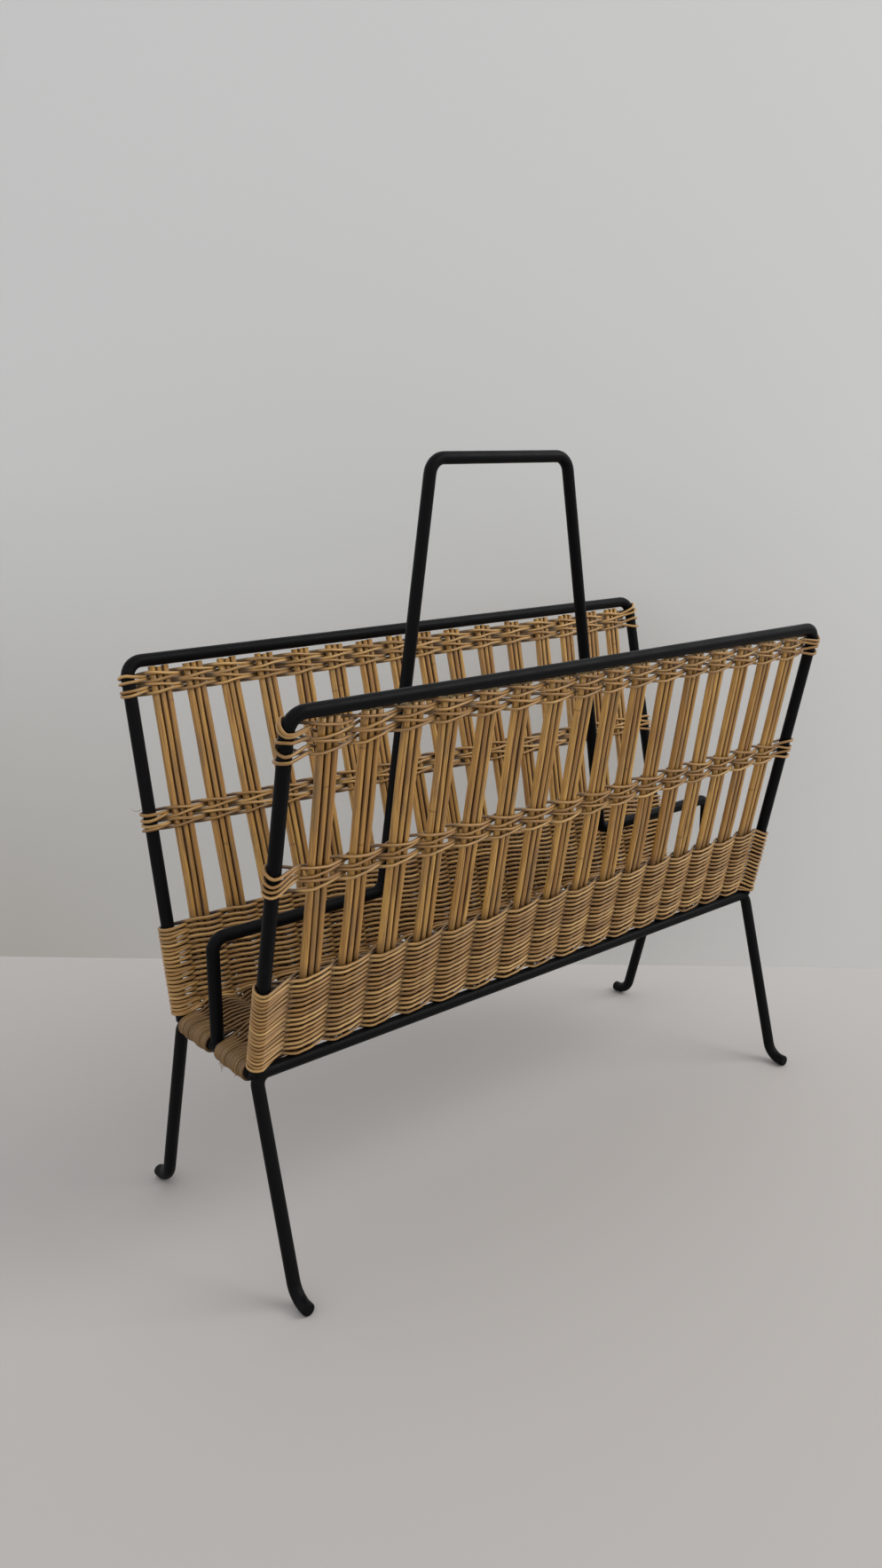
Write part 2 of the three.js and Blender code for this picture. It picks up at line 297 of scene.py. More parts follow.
class Strands:
    """Round strands gathered into one mesh, with the places, tones and painted shade that their finish needs.
    """

    def __init__(self):
        self.points, self.quads, self.caps = [], [], []
        self.grain, self.tones, self.painted_light_share = [], [], []
        self.count = 0

    def add(self, path, radius, sides, across, closed=False, rng=None, painted_light=None):
        """The function passed for painted light gives, from the outward directions along the path, how much
        light the skin keeps: 1 is fully lit, lower is painted shade.
        """
        path = np.asarray(path, float)
        if closed:
            tangents = unit(np.roll(path, -1, 0) - np.roll(path, 1, 0))
        else:
            tangents = unit(np.gradient(path, axis=0))
        across = np.asarray(across, float)
        radii = np.broadcast_to(np.asarray(radius, float), (len(path),))
        normals = unit(across - (tangents @ across)[:, None] * tangents)
        binormals = np.cross(tangents, normals)
        angles = np.arange(sides) * 2 * np.pi / sides
        around = np.cos(angles)[:, None, None] * normals + np.sin(angles)[:, None, None] * binormals
        lengths = np.concatenate([[0], np.cumsum(np.linalg.norm(np.diff(path, axis=0), axis=1))])
        offset = rng.uniform(0, GRAIN_RUN) if rng else 0
        grain = np.stack([
            np.repeat(lengths + offset, sides),
            (np.cos(angles) * radii[:, None]).ravel() + offset,
            (np.sin(angles) * radii[:, None]).ravel()], -1)
        self.points.append((path + around * radii[:, None]).transpose(1, 0, 2).reshape(-1, 3))
        self.grain.append(grain)
        self.tones.append(np.full(len(path) * sides, rng.uniform() if rng else 0.5))
        # Painted shade: how much of its colour the skin keeps, 1 where fully lit
        painted_light_share = painted_light(around) if painted_light else np.ones(around.shape[:2])
        self.painted_light_share.append(painted_light_share.T.ravel())
        spans = len(path) if closed else len(path) - 1
        ring = np.arange(spans)[:, None] * sides
        after = (np.arange(spans)[:, None] + 1) % len(path) * sides
        here = np.arange(sides)[None]
        beside = (here + 1) % sides
        quads = np.stack([ring + here, ring + beside, after + beside, after + here], -1).reshape(-1, 4)
        self.quads.append(quads + self.count)
        if not closed:
            self.caps.append([self.count + corner for corner in reversed(range(sides))])
            self.caps.append([self.count + (len(path) - 1) * sides + corner for corner in range(sides)])
        self.count += len(path) * sides

    def make(self, name, finish, cut_finish=None):
        """Makes the mesh and its piece. A second finish is for the cut ends."""
        quads = np.concatenate(self.quads)
        mesh = bpy.data.meshes.new(name)
        mesh.from_pydata((np.concatenate(self.points) * METRES).tolist(), [], quads.tolist() + self.caps)
        mesh.materials.append(finish)
        if cut_finish:
            mesh.materials.append(cut_finish)
            for cap in range(len(self.caps)):
                mesh.polygons[len(quads) + cap].material_index = 1
        grain = mesh.attributes.new("grain_place", "FLOAT_VECTOR", "POINT")
        grain.data.foreach_set("vector", np.concatenate(self.grain).ravel())
        for attribute, values in (("strand_tone", self.tones), ("painted_light_share", self.painted_light_share)):
            made = mesh.attributes.new(attribute, "FLOAT", "POINT")
            made.data.foreach_set("value", np.concatenate(values))
        mesh.polygons.foreach_set("use_smooth", [True] * len(quads) + [False] * len(self.caps))
        mesh.update()
        piece = bpy.data.objects.new(name, mesh)
        bpy.context.collection.objects.link(piece)
        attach(piece, "root")
        return piece


# Finishes

# Cycles per millimetre along and across a strand: fibres 0.6 mm wide and some 30 mm long, and broad patches
FIBRES_PER_MM = (0.03, 1.6, 1.6)
PATCHES_PER_MM = (0.035, 0.2, 0.2)
# How far, in millimetres, a leaf node's ring strays along a reed
NODE_UNEVENNESS = 1.5
# Cycles per metre of paint: brush ripples some 2.4 mm apart, and rubbed patches some 17 mm across
RIPPLES_PER_M = 420
RUBBING_PER_M = 60
# Height of the fibres, and of the ripples in the paint, in metres
FIBRE_RELIEF = 0.0003
PAINT_RELIEF = 0.0002
MIXING = {"data_type": "RGBA"}


def srgb(text):
    """A hex colour as linear light."""
    parts = [int(text[start:start + 2], 16) / 255 for start in (1, 3, 5)]
    return [part / 12.92 if part <= 0.04045 else ((part + 0.055) / 1.055) ** 2.4 for part in parts] + [1]


def add_node(tree, kind, settings=(), inputs=()):
    """Adds a node. An input, named or numbered, gets a plain value or a link from another node's socket."""
    node = tree.nodes.new("ShaderNode" + kind)
    for name, value in dict(settings).items():
        setattr(node, name, value)
    for name, value in dict(inputs).items():
        if isinstance(value, bpy.types.NodeSocket):
            tree.links.new(value, node.inputs[name])
        else:
            node.inputs[name].default_value = value
    return node


def new_finish(name):
    finish = bpy.data.materials.new(name)
    finish.use_nodes = True
    finish.node_tree.nodes.clear()
    return finish, finish.node_tree


def finish_surface(tree, inputs):
    surface = add_node(tree, "BsdfPrincipled", (), inputs)
    add_node(tree, "OutputMaterial", (), {"Surface": surface.outputs[0]})


def fibre_finish(name, pale, mid, dark, stain, shade_and_ring, roughness, relief, node_gap=None):
    """Fine streaks along a strand, which is paler or darker by its own tone, with browner patches.

    Skin that lies against other strands or deep in the weave is painted darker brown, as painted shade; the
    same shade colour also draws the node rings.
    node_gap is the length of stem between leaf nodes, each of which left a thin dark ring.
    """
    finish, tree = new_finish(name)
    place = add_node(tree, "Attribute", {"attribute_name": "grain_place"}).outputs["Vector"]
    tone = add_node(tree, "Attribute", {"attribute_name": "strand_tone"}).outputs["Fac"]
    drawn = add_node(tree, "VectorMath", {"operation": "MULTIPLY"}, {0: place, 1: FIBRES_PER_MM}).outputs[0]
    fibres = add_node(tree, "TexNoise", (), {"Vector": drawn, "Scale": 1, "Detail": 4, "Roughness": 0.6})
    soft = add_node(tree, "VectorMath", {"operation": "MULTIPLY"}, {0: place, 1: PATCHES_PER_MM}).outputs[0]
    patches = add_node(tree, "TexNoise", (), {"Vector": soft, "Scale": 1, "Detail": 3, "Roughness": 0.6})
    streak = add_node(tree, "MapRange", (), {
        "Value": fibres.outputs["Fac"], "From Min": 0.36, "From Max": 0.62, "To Min": 0, "To Max": 1})
    patch = add_node(tree, "MapRange", (), {
        "Value": patches.outputs["Fac"], "From Min": 0.5, "From Max": 0.72, "To Min": 0, "To Max": 0.75})
    body = add_node(tree, "Mix", MIXING, {0: streak.outputs[0], 6: srgb(dark), 7: srgb(mid)}).outputs[2]
    lightness = add_node(tree, "Math", {"operation": "MULTIPLY"}, {0: tone, 1: streak.outputs[0]}).outputs[0]
    lit = add_node(tree, "Mix", MIXING, {0: lightness, 6: body, 7: srgb(pale)}).outputs[2]
    stained = add_node(tree, "Mix", MIXING, {0: patch.outputs[0], 6: lit, 7: srgb(stain)}).outputs[2]
    if node_gap:
        bent = add_node(tree, "TexNoise", (), {"Vector": place, "Scale": 0.5, "Detail": 2}).outputs["Fac"]
        along = add_node(tree, "SeparateXYZ", (), {0: place}).outputs["X"]
        shifted = add_node(tree, "Math", {"operation": "MULTIPLY_ADD"}, {
            0: bent, 1: NODE_UNEVENNESS, 2: along}).outputs[0]
        span = add_node(tree, "Math", {"operation": "PINGPONG"}, {0: shifted, 1: node_gap / 2}).outputs[0]
        ring = add_node(tree, "MapRange", {"interpolation_type": "SMOOTHSTEP"}, {
            "Value": span, "From Min": 0.25, "From Max": 0.7, "To Min": 0.45, "To Max": 0}).outputs[0]
        stained = add_node(tree, "Mix", MIXING, {0: ring, 6: stained, 7: srgb(shade_and_ring)}).outputs[2]
    # Painted shade: the colour goes towards the shade colour where the mesh attribute marks the skin as
    # hidden in the weave
    painted_light_share = add_node(tree, "Attribute", {"attribute_name": "painted_light_share"}).outputs["Fac"]
    colour = add_node(tree, "Mix", MIXING, {0: painted_light_share, 6: srgb(shade_and_ring), 7: stained}).outputs[2]
    gloss = add_node(tree, "MapRange", (), {
        "Value": fibres.outputs["Fac"], "From Min": 0.3, "From Max": 0.7,
        "To Min": roughness + 0.12, "To Max": roughness - 0.08})
    bump = add_node(tree, "Bump", (), {
        "Height": fibres.outputs["Fac"], "Strength": relief, "Distance": FIBRE_RELIEF})
    finish_surface(tree, {
        "Base Color": colour, "Roughness": gloss.outputs[0], "IOR": 1.54, "Normal": bump.outputs[0]})
    return finish


def satin_black_paint():
    """Black paint brushed on mild steel rod: a soft broken highlight, rubbed a little dull and grey.

    The old film reflects less than fresh paint does, so its specular level is low.
    """
    finish, tree = new_finish("satin_black_paint")
    place = add_node(tree, "TexCoord").outputs["Object"]
    film = add_node(tree, "TexNoise", (), {"Vector": place, "Scale": RIPPLES_PER_M, "Detail": 3})
    rubbing = add_node(tree, "TexNoise", (), {
        "Vector": place, "Scale": RUBBING_PER_M, "Detail": 5, "Roughness": 0.65})
    worn = add_node(tree, "MapRange", (), {
        "Value": rubbing.outputs["Fac"], "From Min": 0.62, "From Max": 0.8, "To Min": 0, "To Max": 0.6})
    colour = add_node(tree, "Mix", MIXING, {
        0: worn.outputs[0], 6: srgb("#0c0c0e"), 7: srgb("#262524")}).outputs[2]
    gloss = add_node(tree, "MapRange", (), {
        "Value": rubbing.outputs["Fac"], "From Min": 0.3, "From Max": 0.7, "To Min": 0.36, "To Max": 0.54})
    bump = add_node(tree, "Bump", (), {
        "Height": film.outputs["Fac"], "Strength": 0.25, "Distance": PAINT_RELIEF})
    finish_surface(tree, {
        "Base Color": colour, "Roughness": gloss.outputs[0], "IOR": 1.5, "Specular IOR Level": 0.07,
        "Normal": bump.outputs[0]})
    return finish


# Rattan reed with its hard skin on, oiled: golden tan, satin, faintly streaked along the grain
REED = fibre_finish(
    "oiled_rattan_reed", pale="#d2a559", mid="#ab7e3a", dark="#86592a", stain="#7c6140", shade_and_ring="#341a05",
    roughness=0.36, relief=0.3, node_gap=310)
# Thin rattan core cane, handled and dusty: a greyer brown with pale glints
CANE = fibre_finish(
    "rattan_core_cane", pale="#cfa768", mid="#a97e42", dark="#7c5427", stain="#7a5c3a", shade_and_ring="#2e1905",
    roughness=0.4, relief=0.25)
# The same cane on the floor, which is smoother and darker
FLOOR_CANE = fibre_finish(
    "darker_floor_cane", pale="#92703f", mid="#7a5930", dark="#62461f", stain="#5e4526", shade_and_ring="#3a2408",
    roughness=0.5, relief=0.2)
# Reed cut across: pale and open-grained
CUT_REED = fibre_finish(
    "cut_reed_end", pale="#dcc490", mid="#c4a36c", dark="#a07d48", stain="#b08c55", shade_and_ring="#9a7a48",
    roughness=0.8, relief=0.5)
PAINT = satin_black_paint()


# Welded frame of round rod

def rod(name, corners, bends, across):
    """A bent rod with rounded ends, whose sides start at the direction across, which none of its runs has."""
    strands = Strands()
    route = bent_route(corners, bends)
    rounded_ends = []
    for point, inner in ((route[0], route[1]), (route[-1], route[-2])):
        inward = unit(inner - point)
        rounded_ends.append([
            (point + inward * (depth * ROD_EDGE), ROD_RADIUS - cut * ROD_EDGE)
            for depth, cut in ROD_EDGE_SHARES])
    first, last = rounded_ends
    stations = [*first, *((point, ROD_RADIUS) for point in route[1:-1]), *reversed(last)]
    path, radii = zip(*stations)
    strands.add(path, radii, ROD_SIDES, across)
    piece = strands.make(name + "_round", PAINT)
    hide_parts(name)


def corner_place(end, side):
    return (end * HALF_LENGTH, side * BASE_HALF_WIDTH, BASE_HEIGHT)


for side, side_name in SIDE_NAMES.items():
    toe = [(end * HALF_LENGTH, side * TOE_HALF_WIDTH, ROD_RADIUS) for end in (LEFT, RIGHT)]
    heel = [(end * HALF_LENGTH, side * HEEL_HALF_WIDTH, ROD_RADIUS) for end in (LEFT, RIGHT)]
    rod(f"{side_name}_base_rod",
        [toe[0], heel[0], corner_place(LEFT, side), corner_place(RIGHT, side), heel[1], toe[1]],
        [FOOT_BEND, BASE_BEND, BASE_BEND, FOOT_BEND],
        (0, side * BASE_ROD_ACROSS_Y, BASE_ROD_ACROSS_Z))
    head = [(end * HALF_LENGTH, side * TOP_HALF_WIDTH, TOP_HEIGHT) for end in (LEFT, RIGHT)]
    rod(f"{side_name}_side_frame",
        [corner_place(LEFT, side), head[0], head[1], corner_place(RIGHT, side)],
        [TOP_BEND, TOP_BEND], (0, side * RISE_Z, -RISE_Y))
for end, end_name in ((LEFT, "left"), (RIGHT, "right")):
    rod(f"{end_name}_end_rail", [corner_place(end, FRONT), corner_place(end, REAR)], [], (1, 0, 0))
rod("handle_divider", [
    (-HALF_LENGTH, 0, BASE_HEIGHT), (-HALF_LENGTH, 0, DIVIDER_HEIGHT), (-HANDLE_FOOT, 0, DIVIDER_HEIGHT),
    (-HANDLE_TOP, 0, HANDLE_HEIGHT), (HANDLE_TOP, 0, HANDLE_HEIGHT), (HANDLE_FOOT, 0, DIVIDER_HEIGHT),
    (HALF_LENGTH, 0, DIVIDER_HEIGHT), (HALF_LENGTH, 0, BASE_HEIGHT),
], [DIVIDER_BEND, DIVIDER_BEND, HANDLE_BEND, HANDLE_BEND, DIVIDER_BEND, DIVIDER_BEND], (0, 1, 0))


def welds():
    """Painted-over weld beads where a rod stands on, or butts against, another."""
    rng = np.random.default_rng(31)
    strands = Strands()
    angles = np.linspace(0, 2 * np.pi, WELD_STEPS, endpoint=False)

    def add_bead(ring, across):
        radius = WELD_RADIUS * (1 + WELD_UNEVENNESS * wander(rng, np.arange(WELD_STEPS), 1, WELD_WAVE))
        strands.add(ring, radius, WELD_SIDES, across, closed=True, rng=rng)

    for end in (LEFT, RIGHT):
        x = end * HALF_LENGTH + ROD_RADIUS * np.cos(angles)
        saddle_rise = ROD_RADIUS * np.sqrt(np.sin(angles) ** 2 + SADDLE_ROUNDING)
        add_bead(np.stack([x, ROD_RADIUS * np.sin(angles), BASE_HEIGHT + saddle_rise], -1), (0, 0, 1))
        for side in (FRONT, REAR):
            y = np.full(WELD_STEPS, side * (BASE_HALF_WIDTH - ROD_RADIUS))
            add_bead(np.stack([x, y, BASE_HEIGHT + ROD_RADIUS * np.sin(angles)], -1), (0, 1, 0))
    piece = strands.make("weld_beads", PAINT)


welds()


# Stakes

def even_place(index):
    return -HALF_LENGTH + POST_SPACING * (index + 1)


def stake_foot(index, side):
    """Where a stake turns up from the floor. The front ones all stand to the right of their even places."""
    if side == REAR:
        return even_place(index) + REAR_FOOT_SHIFT
    along_basket = index / (STAKES - 1)
    stray = np.sin(np.pi * along_basket ** FRONT_FOOT_SKEW)
    return even_place(index) + FRONT_FOOT_SHIFT + FRONT_FOOT_STRAY * stray


def stake_x(index, side, up):
    """A stake's middle at a height up its side, between its foot and its head."""
    foot = stake_foot(index, side)
    head = even_place(index) + (FRONT_HEAD_SHIFT if side == FRONT else REAR_HEAD_SHIFT)[index]
    share = np.maximum(0, (np.asarray(up) - LEAN_START) / (FRONT_TOP_UP - LEAN_START))
    lean = (np.hypot(share, LEAN_EASE) - LEAN_EASE) / (np.hypot(1, LEAN_EASE) - LEAN_EASE)
    return foot + (head - foot) * lean


def reed_path(index, offset, rng):
    halves = []
    for side, top in ((FRONT, FRONT_TOP_UP), (REAR, REAR_TOP_UP)):
        top = top + rng.uniform(*REED_TOP_RANGE)
        straight = np.linspace(top, BEND_START, int((top - BEND_START) / REED_STEP) + 1)
        bend = BEND_START - STAKE_BEND * np.linspace(0, STAKE_TURN, STAKE_BEND_STEPS + 1)[1:]
        ups = np.concatenate([straight, bend])
        sway = wander(rng, ups, REED_SWAY, REED_SWAY_LENGTH)
        bow = wander(rng, ups, REED_BOW, REED_BOW_LENGTH)
        halves.append(side_place(stake_x(index, side, ups) + offset + sway, ups, bow, side))
    front, rear = halves[0], halves[1][::-1]
    shares = np.linspace(0, 1, FLOOR_REED_STEPS + 1)[1:-1, None]
    across = front[-1] + (rear[0] - front[-1]) * shares
    return np.concatenate([front, across, rear])


def stake(index):
    rng = np.random.default_rng(100 + index)
    strands = Strands()
    for reed in range(REEDS):
        path = reed_path(index, REED_SPACING * (reed - (REEDS - 1) / 2), rng)
        swell_places = np.arange(len(path)) * REED_STEP
        thickness = REED_RADIUS * rng.uniform(*REED_SIZE_RANGE)
        thickness = thickness + wander(rng, swell_places, REED_SWELL, REED_SWELL_LENGTH)
        # Painted shade: a reed darkens behind the lower weave and along the creases beside its neighbours
        above_weave = eased(path[:, 2] - WOVEN_HEIGHT, *COVERED_SHADE_END)
        unshaded_share = COVERED_LIGHT_SHARE + (1 - COVERED_LIGHT_SHARE) * above_weave
        faces = [face for face in (LEFT, RIGHT) if 0 <= reed + face < REEDS]
        strands.add(path, thickness, REED_SIDES, (1, 0, 0), rng=rng, painted_light=lambda around: unshaded_share * np.min(
            [eased(face * around[..., 0], *REED_CREASE_SHADE) for face in faces], axis=0))
    name = f"stake_{index + 1:02d}"
    piece = strands.make(name + "_reeds", REED, CUT_REED)
    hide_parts(name)


for index in range(STAKES):
    stake(index)


# Twined cane

# How a strip is twined: its strands' radius, the rise of the crossings in successive rows, the share of that
# rise at a stake's edge, the share of colour left in the painted shade on the most hidden skin, and how far a
# pass rises on the outside of a stake, and drops on the inside
Stitch = namedtuple("Stitch", "strand twists shoulder_turn least_open face_rise")
FRONT_BAND = Stitch(
    strand=FRONT_BAND_STRAND, twists=(-1.05, 1.05), shoulder_turn=0.7, least_open=0.25, face_rise=0)
REAR_BAND = Stitch(
    strand=REAR_BAND_STRAND, twists=(1.05, -1.05), shoulder_turn=0.7, least_open=0.25, face_rise=0)
FRONT_LOWER = Stitch(
    strand=FRONT_LOWER_STRAND, twists=(0.9,), shoulder_turn=0.76, least_open=0, face_rise=0)
REAR_LOWER = Stitch(
    strand=REAR_LOWER_STRAND, twists=(0.8,), shoulder_turn=1, least_open=0, face_rise=-0.4)
LEVEL = ((-HALF_LENGTH, HALF_LENGTH), (0, 0))
# Extra turns that fill the foot of each upright: the end, and the heights of the face, the back and the tuck
LOWEST_TURNS = ((LEFT, 6.5, 6.3, 6.9), (RIGHT, 6, 6, 6.9))


def on_side(x, up, out, side):
    """A place on a side, and how far it stands off the middle of the weave."""
    place = side_place(x, up, out, side)
    return np.concatenate([place, place - side_place(x, up, 0, side)])


def on_upright(end, up, angle, reach, side):
    place = upright_place(end, up, angle, reach, side)
    return np.concatenate([place, place - upright_place(end, up, angle, 0, side)])


def turn_back(end, face_up, back_up, reach, side, face_next, back_next):
    """Round an upright from the basket's inside to its outside, and on towards the next crossings."""
    climb = np.clip(np.sin(LOOP_ANGLES) * LOOP_STEEPNESS, -1, 1)
    ups = (face_up + back_up) / 2 + (face_up - back_up) / 2 * climb
    leaving = eased(np.abs(LOOP_ANGLES), *LOOP_LEAVING) * LOOP_LEAVING_SHARE
    ups += leaving * np.where(LOOP_ANGLES > 0, face_next - face_up, back_next - back_up)
    return [on_upright(end, up, angle, reach, side) for up, angle in zip(ups, LOOP_ANGLES)]


def row_path(row_up, side, twist, stitch, loops, drift, rng):
    """One strand that goes over and under the stakes to the right, round the upright, and back beside itself.

    Its two passes cross midway between stakes, one above the other, which gives each stitch its slope.
    loops has, for the left and the right end, the height on the outside and on the inside of the upright,
    and may have the height at which the strand on the outside passes the middle of the last gap.
    """
    depth = REED_SPACING / 2 + stitch.strand + GAP
    posts = np.array([-HALF_LENGTH, *(stake_x(index, side, row_up) for index in range(STAKES)), HALF_LENGTH])
    phase = rng.uniform(0, ROW_PHASES)

    def height(x):
        waves = sum(size * np.sin(x / length + turns * phase) for size, length, turns in ROW_WAVES)
        return row_up + waves + np.interp(x, *drift)

    def crossing_up(number, face):
        """Where a pass with this face at the last post crosses the other before the next."""
        if number == 0 and face > 0 and len(loops[0]) > 2:
            return loops[0][2]
        if number == STAKES and face < 0 and len(loops[1]) > 2:
            return loops[1][2]
        return height((posts[number] + posts[number + 1]) / 2) + face * twist

    def one_pass(first_face):
        points = []
        for number, x in enumerate(posts[:-1]):
            face = first_face * (1 if number % 2 == 0 else -1)
            if number:
                for share, out in ((-1, SHOULDER_DEPTH), (0, 1), (1, SHOULDER_DEPTH)):
                    place = x + share * SHOULDER
                    rise = face * (stitch.face_rise + twist * stitch.shoulder_turn * share)
                    rise += rng.normal(0, STITCH_SCATTER)
                    points.append(on_side(place, height(place) + rise, face * out * depth, side))
            middle = (x + posts[number + 1]) / 2
            points.append(on_side(middle, crossing_up(number, face), face * CROSSING_DEPTH, side))
        return points

    reach = ROD_RADIUS + stitch.strand + GAP
    left = turn_back(LEFT, *loops[0][:2], reach, side, crossing_up(0, 1), crossing_up(0, -1))
    right = turn_back(RIGHT, *loops[1][:2], reach, side, crossing_up(STAKES, -1), crossing_up(STAKES, 1))
    if STAKES % 2 == 0:
        right = right[::-1]
    return smooth(np.array([*left, *one_pass(1), *right, *reversed(one_pass(-1))]), closed=True)


def extra_turn(end, face_up, back_up, inner_up, strand, side):
    """A short strand whose ends are pushed in beside the first stake."""
    tip, inner = [end * (HALF_LENGTH - POST_SPACING * share) for share in TUCK_SHARES]
    start = [on_side(tip, inner_up - TUCK_DROP, CROSSING_DEPTH, side),
             on_side(inner, inner_up, -CROSSING_DEPTH, side)]
    finish = [on_side(inner, inner_up, CROSSING_DEPTH, side),
              on_side(tip, inner_up + TUCK_DROP, -CROSSING_DEPTH, side)]
    around = turn_back(end, face_up, back_up, ROD_RADIUS + strand + GAP, side, inner_up, inner_up)
    return smooth(np.array([*start, *around, *finish]), closed=False)


def twined_strip(node, side, rows, stitch, left_loops, right_loops, drift, seed, extra_turns=()):
    """A strip of twined rows that replaces a CAD node.

    drift has places along the basket, and how far the rows lie above their heights there: a number for all
    rows, or one for each.
    """
    rng = np.random.default_rng(seed)
    strands = Strands()

    def add(path, closed):
        places, stand_off = path[:, :3], path[:, 3:]
        thickness = stitch.strand * rng.uniform(*STRAND_SIZE_RANGE)
        # Painted shade: skin turned towards the middle of the weave is darker, down to the strip's least lit
        # share
        least = stitch.least_open
        strands.add(places, thickness, STRAND_SIDES, (0, RISE_Y * side, RISE_Z), closed=closed, rng=rng,
                    painted_light=lambda around: least + (1 - least) * eased(
                        (around * stand_off).sum(-1) + stitch.strand, *STRAND_SHADE_RANGE))

    for number, row_up in enumerate(rows):
        loops = (left_loops[number], right_loops[number])
        row_drift = (drift[0], [shift[number] if np.ndim(shift) else shift for shift in drift[1]])
        twist = stitch.twists[number % len(stitch.twists)]
        add(row_path(row_up, side, twist, stitch, loops, row_drift, rng), True)
    for end, face_up, back_up, inner_up in extra_turns:
        add(extra_turn(end, face_up, back_up, inner_up, stitch.strand, side), False)
    piece = strands.make(node + "_strands", CANE)
    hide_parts(node)


def even_loops(top, bottom, count, tilt):
    """Loops stacked evenly down an upright, each lying higher or lower on its back by the tilt."""
    faces = np.linspace(top, bottom, count)
    return [(face, max(face + tilt, LOWEST_BACK_LOOP)) for face in faces]


def with_extra_turns(loops, end, rows):
    """Shares stacked loops between the rows and the extra turns that fill in among them."""
    extra = len(loops) - len(rows)
    places = sorted(int((number + 0.5) * len(loops) / extra) for number in range(extra))
    kept = [loops[number] for number in range(len(loops)) if number not in places]
    turns = [(end, *loops[place], (rows[place - number] + rows[place - number - 1]) / 2)
             for number, place in enumerate(places)]
    return kept, turns


def lower_weave(node, side, even_rows, last_rows, stitch, left_loops, right_loops, drift, seed):
    """Close rows down to the floor. The left upright has loops to spare, which become extra turns.

    even_rows has the height of the top row, the rows' pitch and their count.
    """
    top, pitch, count = even_rows
    rows = [*(top - pitch * row for row in range(count)), *last_rows]
    left_loops, extra_turns = with_extra_turns(left_loops, LEFT, rows)
    twined_strip(node, side, rows, stitch, left_loops, right_loops, drift, seed,
                 [*extra_turns, *LOWEST_TURNS])


twined_strip(
    "front_top_band", FRONT, rows=(215.3, 211.3, 207.2, 203.3), stitch=FRONT_BAND,
    left_loops=[(212.5, 217, 213), (211.3, 214.7, 211.5), (208.3, 206, 206.8), (200.4, 203.8, 202.5)],
    right_loops=[(213, 216.5), (211.8, 213.5), (208.8, 210), (203.8, 206)],
    drift=((-220, -190, -150, 220),
           ((-1.8, -3.8, -3, -4.3), (-1.8, -3.8, -3, -4.3), (0, 0, 0, 0), (0, 0, 0, 0))),
    seed=11, extra_turns=[(LEFT, 196.8, 195, 198.4)])
twined_strip(
    "rear_top_band", REAR, rows=(212.9, 209.3, 205.9, 202.2), stitch=REAR_BAND,
    left_loops=[(211.8, 213), (208.5, 209.2), (203.7, 203.7), (201.8, 201)],
    right_loops=[(216, 217), (212.5, 214), (207, 207.3), (201, 200.5)],
    drift=LEVEL, seed=12)
twined_strip(
    "front_middle_band", FRONT, rows=(131.2, 127.2, 123.2, 119.3), stitch=FRONT_BAND,
    left_loops=[(130, 134.2, 132), (125, 128.2, 130.2), (122, 122.8, 126.6), (118.7, 119.5, 123.6)],
    right_loops=[(134.8, 131), (129.2, 126.5), (126.6, 123), (122.2, 119)],
    drift=((-220, -195, -110, -6, 108, 220), (-1.6, -1.6, 0, -1.7, 1.3, 1.8)), seed=13)
twined_strip(
    "rear_middle_band", REAR, rows=(129.8, 126.5, 123, 119.7), stitch=REAR_BAND,
    left_loops=[(130.2, 128.9), (126.2, 125.2), (123.2, 122), (119.6, 120)],
    right_loops=[(126, 125.2), (121.8, 121.5), (119.5, 119), (116, 115.2)],
    drift=((-220, 0, 220), (0, 0, -3)), seed=14)
lower_weave(
    "front_lower_weave", FRONT, even_rows=(58.4, 3.26, 14), last_rows=(12.5, 8.7), stitch=FRONT_LOWER,
    left_loops=even_loops(56.2, 8.7, 20, 2.5), right_loops=even_loops(55.2, 5.2, 16, -2.5),
    drift=LEVEL, seed=15)
lower_weave(
    "rear_lower_weave", REAR, even_rows=(59.4, 3.32, 14), last_rows=(13, 9.7, 6.2), stitch=REAR_LOWER,
    left_loops=even_loops(59, 6.8, 22, -0.8), right_loops=even_loops(58, 6.5, 17, 0),
    drift=((-220, -150, 220), (-0.6, 0.6, 0)), seed=16)


# Floor

def floor_post(index, y):
    """Where a stake crosses the floor at a depth."""
    share = (y + BASE_HALF_WIDTH) / (2 * BASE_HALF_WIDTH)
    return stake_foot(index, FRONT) * (1 - share) + stake_foot(index, REAR) * share


